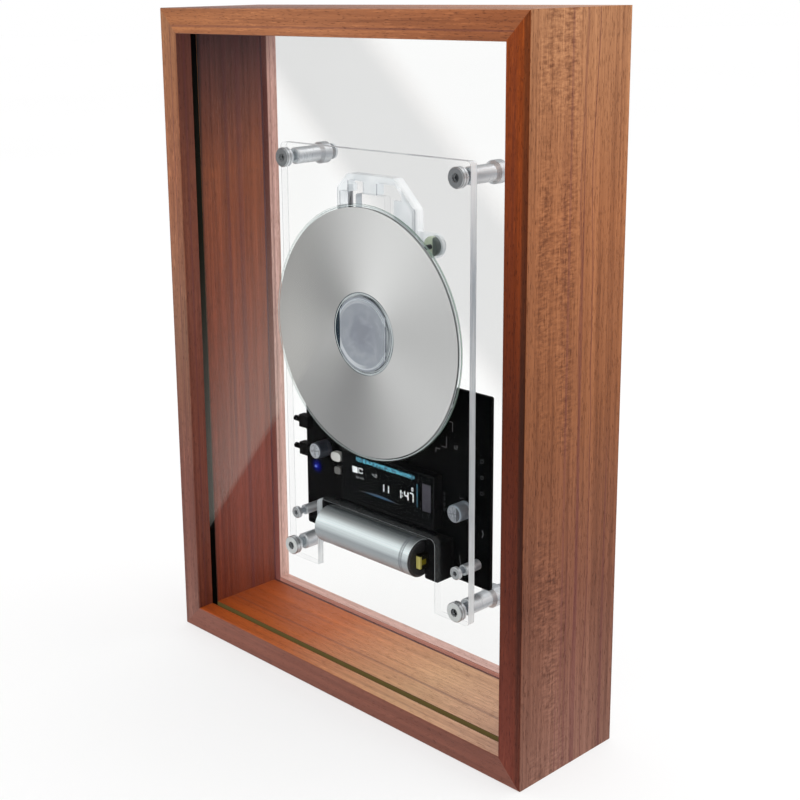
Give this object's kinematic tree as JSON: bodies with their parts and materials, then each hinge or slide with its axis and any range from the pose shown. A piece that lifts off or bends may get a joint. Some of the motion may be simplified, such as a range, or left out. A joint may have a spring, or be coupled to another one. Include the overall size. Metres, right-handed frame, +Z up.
{
  "type": "wall mounted compact disc player",
  "caption": "Compact disc player in a glazed hardwood shadow box: disc and clamp on a clear plate with standoffs, over an exposed circuit board with display, battery and side buttons",
  "frame": {"origin": "Middle of the underside of the wooden case, halfway through its depth, where it stands on a shelf.", "axes": "+Z up, +Y to the wall behind, +X to the viewer's right; the disc faces -Y."},
  "size_m": [0.229, 0.063, 0.32],
  "materials": {
    "case_wood": "satin oiled reddish-brown hardwood",
    "clear_glass": "clear float glass with polished faces",
    "clear_acrylic": "clear polished acrylic sheet",
    "zinc_steel": "zinc plated pressed steel",
    "bright_chrome": "bright chrome plating",
    "clear_deck_plastic": "clear moulded plastic",
    "black_rubber": "soft matt rubber",
    "dark_steel": "blackened steel",
    "motor_steel": "nickel plated steel",
    "bronze": "bright copper alloy",
    "board_black": "black solder resist over glass laminate",
    "black_plastic": "fine satin black moulding",
    "display_face": "dark display glass",
    "silver_sleeve": "smooth silver film sleeve over a steel can",
    "spring_brass": "bright spring brass",
    "can_aluminium": "smooth drawn aluminium",
    "socket_steel": "tinned sheet steel",
    "led_lens": "small clear lens",
    "white_ceramic": "smooth white ceramic or moulding",
    "grey_ferrite": "matt grey ferrite",
    "chip_black": "moulded black epoxy",
    "ribbon_film": "thin amber polyimide film",
    "platter_plastic": "satin dark grey moulding",
    "disc_silver": "plain silver lacquer over a clear polycarbonate disc",
    "clear_clamp": "clear blue-grey acrylic",
    "magnet_nickel": "nickel plated magnet",
    "lens_glass": "coated lens with a bluish sheen",
    "board_green": "green flexible circuit",
    "white_acetal": "smooth white acetal"
  },
  "bodies": {
    "cabinet": {"top_rail": "case_wood", "bottom_rail": "case_wood", "left_stile": "case_wood", "right_stile": "case_wood", "rear_panel": "clear_acrylic", "mounting_plate": "clear_acrylic", "hanger_plates": "zinc_steel", "hanger_screws": "zinc_steel", "standoffs": "bright_chrome", "standoff_washers": "bright_chrome", "standoff_cap_screws": "bright_chrome", "rear_panel_screws": "bright_chrome", "board_cap_screws": "bright_chrome", "board_rear_screws": "bright_chrome", "board_spacers": "bright_chrome", "deck_chassis": "clear_deck_plastic", "rubber_dampers": "black_rubber", "deck_screws": "dark_steel", "motor_screws": "dark_steel", "spindle_motor": "motor_steel", "sled_motor": "motor_steel", "guide_rod": "motor_steel", "gear_pin": "motor_steel", "spindle_bearing": "bronze", "circuit_board": "board_black", "display_housing": "black_plastic", "battery_holder": "black_plastic", "switch_bodies": "black_plastic", "capacitor_bases": "black_plastic", "display_glass": "display_face", "battery_cell": "silver_sleeve", "battery_contacts": "spring_brass", "capacitor_cans": "can_aluminium", "charging_socket": "socket_steel", "radio_module": "socket_steel", "status_led": "led_lens", "quartz_crystal": "white_ceramic", "ribbon_connector": "white_ceramic", "small_inductor": "grey_ferrite", "servo_chip": "chip_black", "power_chip": "chip_black", "pickup_ribbon": "ribbon_film"},
    "front_pane": {"front_pane": "clear_glass"},
    "turntable": {"turntable": "platter_plastic", "platter_ring": "black_rubber", "spindle_shaft": "motor_steel"},
    "disc": {"compact_disc": "disc_silver"},
    "disc_clamp": {"disc_clamp": "clear_clamp", "clamp_magnet": "magnet_nickel"},
    "pickup": {"pickup_sled": "black_plastic", "lens_cover": "black_plastic", "objective_lens": "lens_glass", "laser_diode": "bronze", "pickup_board": "board_green", "sled_rack": "white_acetal"},
    "drive_gear": {"drive_gear": "white_acetal"},
    "motor_rotor": {"motor_pinion": "white_acetal", "motor_shaft": "motor_steel"},
    "upper_button": {"upper_button": "black_plastic"},
    "lower_button": {"lower_button": "black_plastic"}
  },
  "joints": [
    {"name": "pane_lift", "type": "slide", "parent": "cabinet", "child": "front_pane", "axis": [0, 0, 1], "range_m": [0, 0.29]},
    {"name": "disc_spin", "type": "hinge", "parent": "cabinet", "child": "turntable", "pos_m": [0, 0, 0.1736], "axis": [0, 1, 0], "continuous": true},
    {"name": "disc_lift", "type": "slide", "parent": "turntable", "child": "disc", "axis": [0, -1, 0], "range_m": [0, 0.004]},
    {"name": "clamp_lift", "type": "slide", "parent": "disc", "child": "disc_clamp", "axis": [0, -1, 0], "range_m": [0, 0.005]},
    {"name": "pickup_travel", "type": "slide", "parent": "cabinet", "child": "pickup", "axis": [0, 0, 1], "range_m": [0, 0.0345], "deforming": ["pickup_ribbon"]},
    {"name": "drive_gear_spin", "type": "hinge", "parent": "cabinet", "child": "drive_gear", "pos_m": [0.01405, 0.003, 0.1936], "axis": [0, 1, 0], "range_deg": [0, 471]},
    {"name": "motor_pinion_spin", "type": "hinge", "parent": "cabinet", "child": "motor_rotor", "pos_m": [0.01505, 0.003, 0.18511], "axis": [0, 1, 0], "range_deg": [-1130, 0]},
    {"name": "upper_button_press", "type": "slide", "parent": "cabinet", "child": "upper_button", "axis": [1, 0, 0], "range_m": [0, 0.0003], "stiffness_N_per_m": 200},
    {"name": "lower_button_press", "type": "slide", "parent": "cabinet", "child": "lower_button", "axis": [1, 0, 0], "range_m": [0, 0.0003], "stiffness_N_per_m": 200}
  ],
  "couplings": [
    {"joint": "drive_gear_spin", "follows": "pickup_travel", "rad_per_m": 238.1},
    {"joint": "motor_pinion_spin", "follows": "pickup_travel", "rad_per_m": -571.43}
  ]
}
